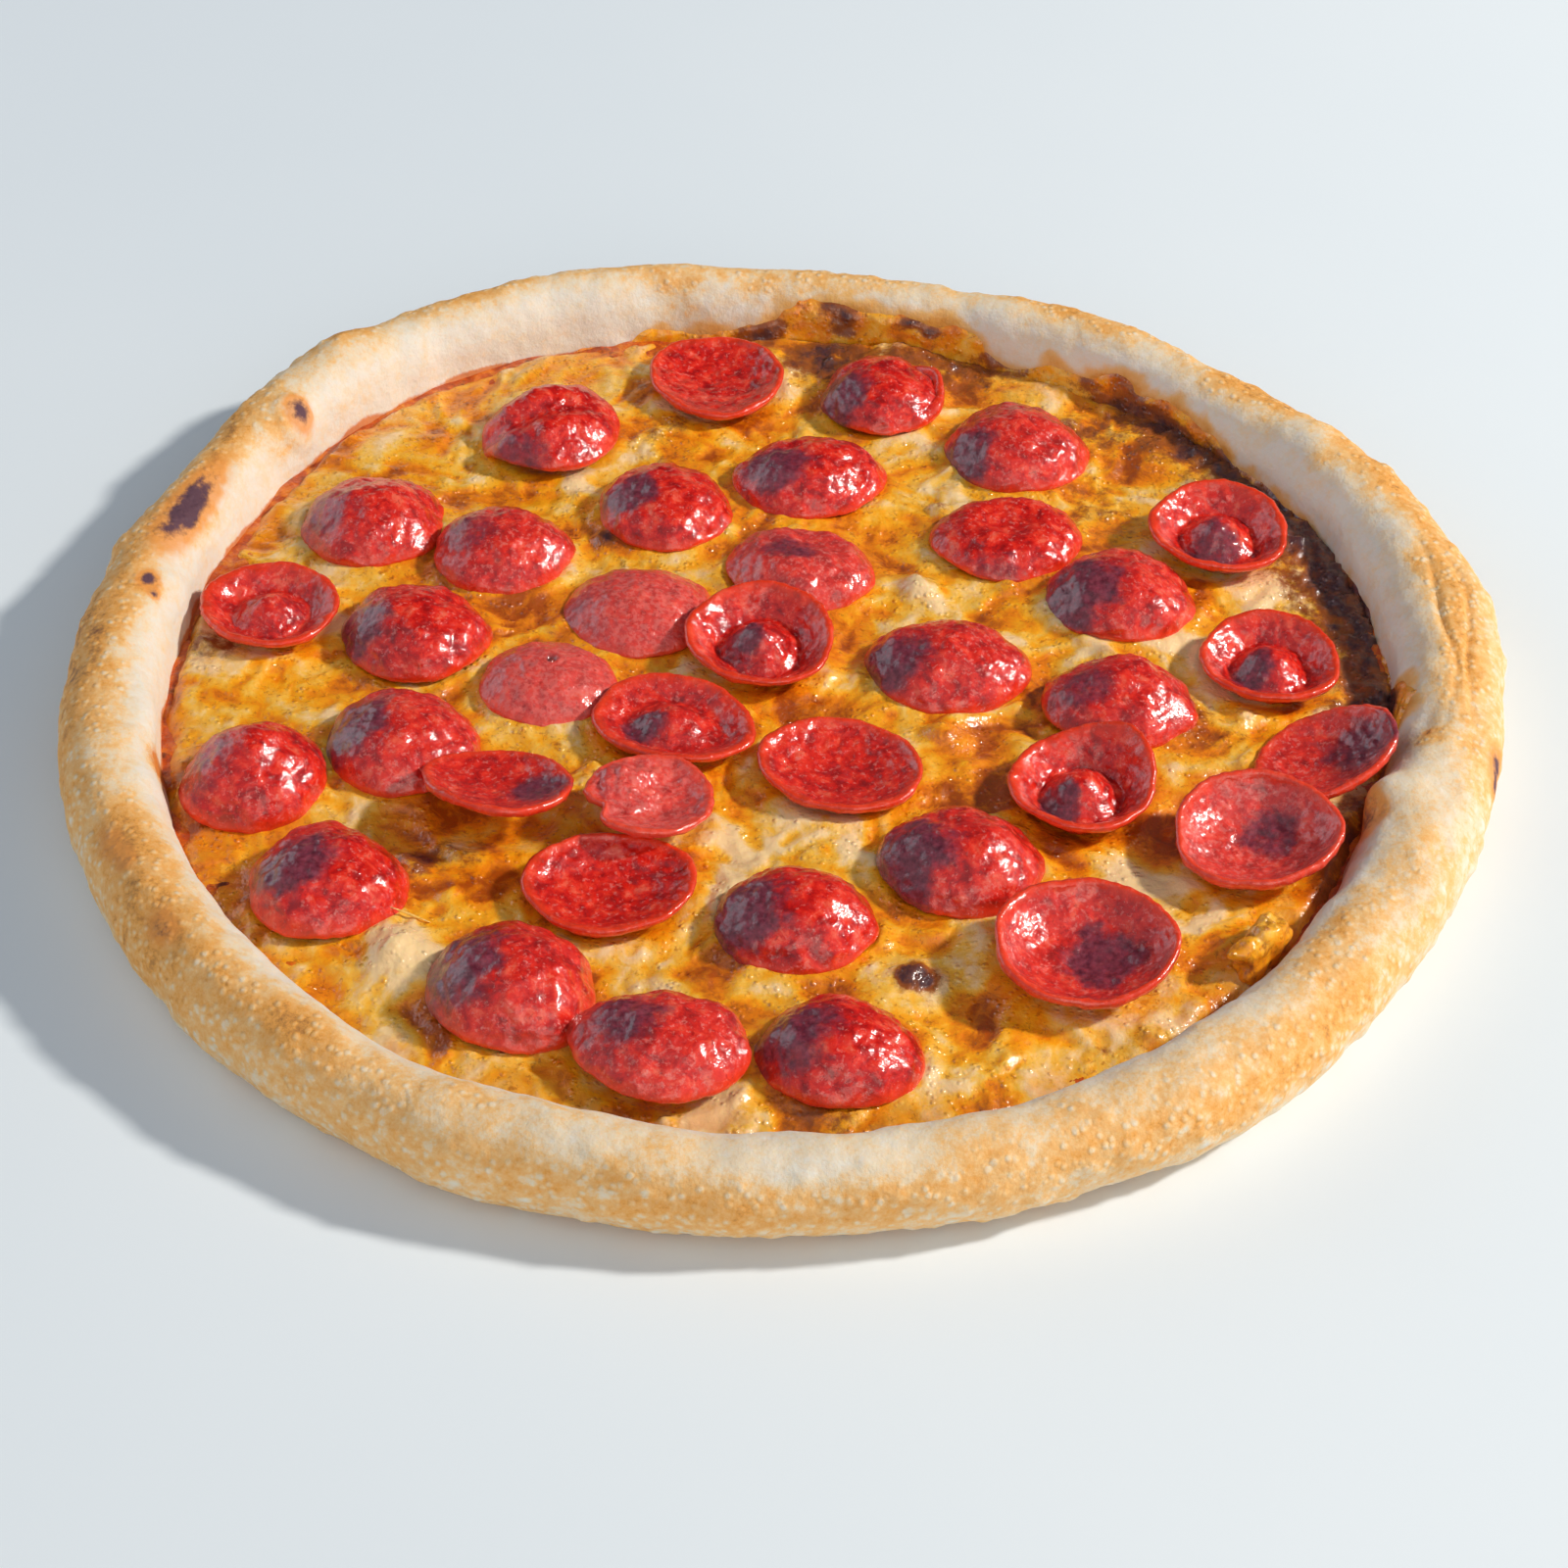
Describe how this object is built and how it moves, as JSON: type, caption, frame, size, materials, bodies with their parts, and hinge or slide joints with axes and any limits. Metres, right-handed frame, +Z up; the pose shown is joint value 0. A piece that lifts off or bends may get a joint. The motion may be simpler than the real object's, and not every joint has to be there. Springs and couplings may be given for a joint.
{
  "type": "pepperoni pizza",
  "caption": "Whole round pepperoni pizza with a puffed, browned dough rim, browned melted cheese and curled slices of pepperoni.",
  "frame": {"origin": "centre of the pizza's flat underside, at the middle of its outline", "axes": "+Z straight up through the toppings, -Y towards the near side of the picture, +X to its right"},
  "size_m": [0.3094, 0.3066, 0.0249],
  "materials": {
    "baked_dough": "dry baked bread crust, cream to golden brown with a few charred blisters; stands in for bread",
    "tomato_sauce": "moist cooked tomato sauce with orange oil; stands in for sauce",
    "melted_cheese": "oily melted cheese, cream to amber with browned patches; stands in for cheese",
    "pepperoni": "oily cured sausage, red with paler specks of fat and darkened edges; stands in for meat"
  },
  "bodies": {
    "root": {"dough_crust": "baked_dough", "tomato_sauce": "tomato_sauce", "melted_cheese": "melted_cheese", "pepperoni_01": "pepperoni", "pepperoni_02": "pepperoni", "pepperoni_03": "pepperoni", "pepperoni_04": "pepperoni", "pepperoni_05": "pepperoni", "pepperoni_06": "pepperoni", "pepperoni_07": "pepperoni", "pepperoni_08": "pepperoni", "pepperoni_09": "pepperoni", "pepperoni_10": "pepperoni", "pepperoni_11": "pepperoni", "pepperoni_12": "pepperoni", "pepperoni_13": "pepperoni", "pepperoni_14": "pepperoni", "pepperoni_15": "pepperoni", "pepperoni_16": "pepperoni", "pepperoni_17": "pepperoni", "pepperoni_18": "pepperoni", "pepperoni_19": "pepperoni", "pepperoni_20": "pepperoni", "pepperoni_21": "pepperoni", "pepperoni_22": "pepperoni", "pepperoni_23": "pepperoni", "pepperoni_24": "pepperoni", "pepperoni_25": "pepperoni", "pepperoni_26": "pepperoni", "pepperoni_27": "pepperoni", "pepperoni_28": "pepperoni", "pepperoni_29": "pepperoni", "pepperoni_30": "pepperoni", "pepperoni_31": "pepperoni", "pepperoni_32": "pepperoni", "pepperoni_33": "pepperoni", "pepperoni_34": "pepperoni", "pepperoni_35": "pepperoni", "pepperoni_36": "pepperoni", "pepperoni_37": "pepperoni"}
  },
  "joints": []
}
